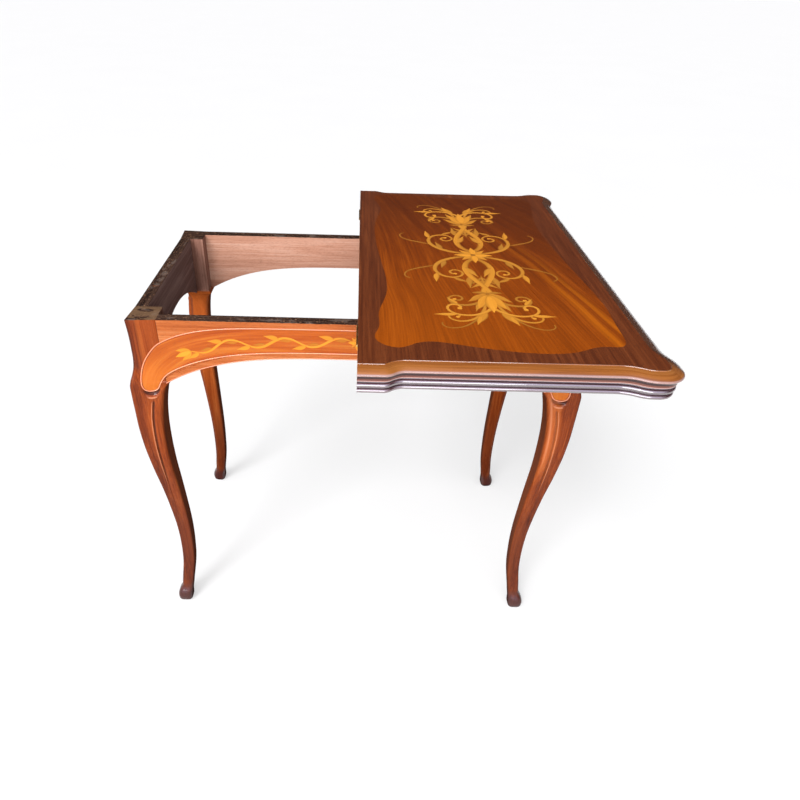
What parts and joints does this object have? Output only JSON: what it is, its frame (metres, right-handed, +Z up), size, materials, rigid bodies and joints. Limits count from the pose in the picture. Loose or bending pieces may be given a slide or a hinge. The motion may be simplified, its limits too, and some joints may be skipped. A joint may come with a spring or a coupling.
{
  "type": "games table",
  "caption": "Fold-over games table on cabriole legs: its hinged top turns on an off-centre pivot over an arched frame, then unfolds flat.",
  "frame": {"origin": "middle of the frame at the floor", "axes": "+X along the frame, towards the half that the turned top covers; +Y to the back; +Z up"},
  "size_m": [0.8434, 0.81, 0.7598],
  "materials": {
    "frame_wood": "polished",
    "panel_veneer": "polished",
    "moulding_wood": "polished",
    "core_wood": "bare",
    "bearer_wood": "bare",
    "border_veneer": "polished",
    "field_veneer": "polished",
    "baize": "felted",
    "brass": "aged",
    "steel": "aged"
  },
  "bodies": {
    "frame": {"leg_front_left": "frame_wood", "leg_front_right": "frame_wood", "leg_back_left": "frame_wood", "leg_back_right": "frame_wood", "rail_front": "frame_wood", "rail_back": "frame_wood", "rail_left": "frame_wood", "rail_right": "frame_wood", "panel_front": "panel_veneer", "panel_back": "panel_veneer", "panel_left": "panel_veneer", "panel_right": "panel_veneer", "bearer": "bearer_wood", "bearer_screws": "steel", "pivot_bush": "brass"},
    "lower_leaf": {"lower_leaf_core": "core_wood", "lower_lipping_front": "moulding_wood", "lower_lipping_side": "moulding_wood", "lower_lipping_back": "moulding_wood", "lower_playing_border": "border_veneer", "lower_baize": "baize", "pivot_plate": "brass", "pivot_plate_screws": "steel", "pivot_bolt": "steel", "pivot_washer": "steel", "pivot_nut": "steel", "turn_stop": "bearer_wood", "hinge_plates_lower": "brass", "hinge_pins": "brass", "hinge_screws_lower": "steel"},
    "upper_leaf": {"upper_leaf_core": "core_wood", "upper_lipping_front": "moulding_wood", "upper_lipping_side": "moulding_wood", "upper_lipping_back": "moulding_wood", "top_border": "border_veneer", "top_field": "field_veneer", "upper_playing_border": "border_veneer", "upper_baize": "baize", "hinge_plates_upper": "brass", "hinge_screws_upper": "steel"}
  },
  "joints": [
    {"name": "top_swivel", "type": "hinge", "parent": "frame", "child": "lower_leaf", "pos_m": [0.11257, 0.11257, 0.7185], "axis": [0, 0, 1], "range_deg": [-90, 0]},
    {"name": "leaf_fold", "type": "hinge", "parent": "lower_leaf", "child": "upper_leaf", "pos_m": [0, 0, 0.7393], "axis": [0, -1, 0], "range_deg": [0, 180]}
  ]
}
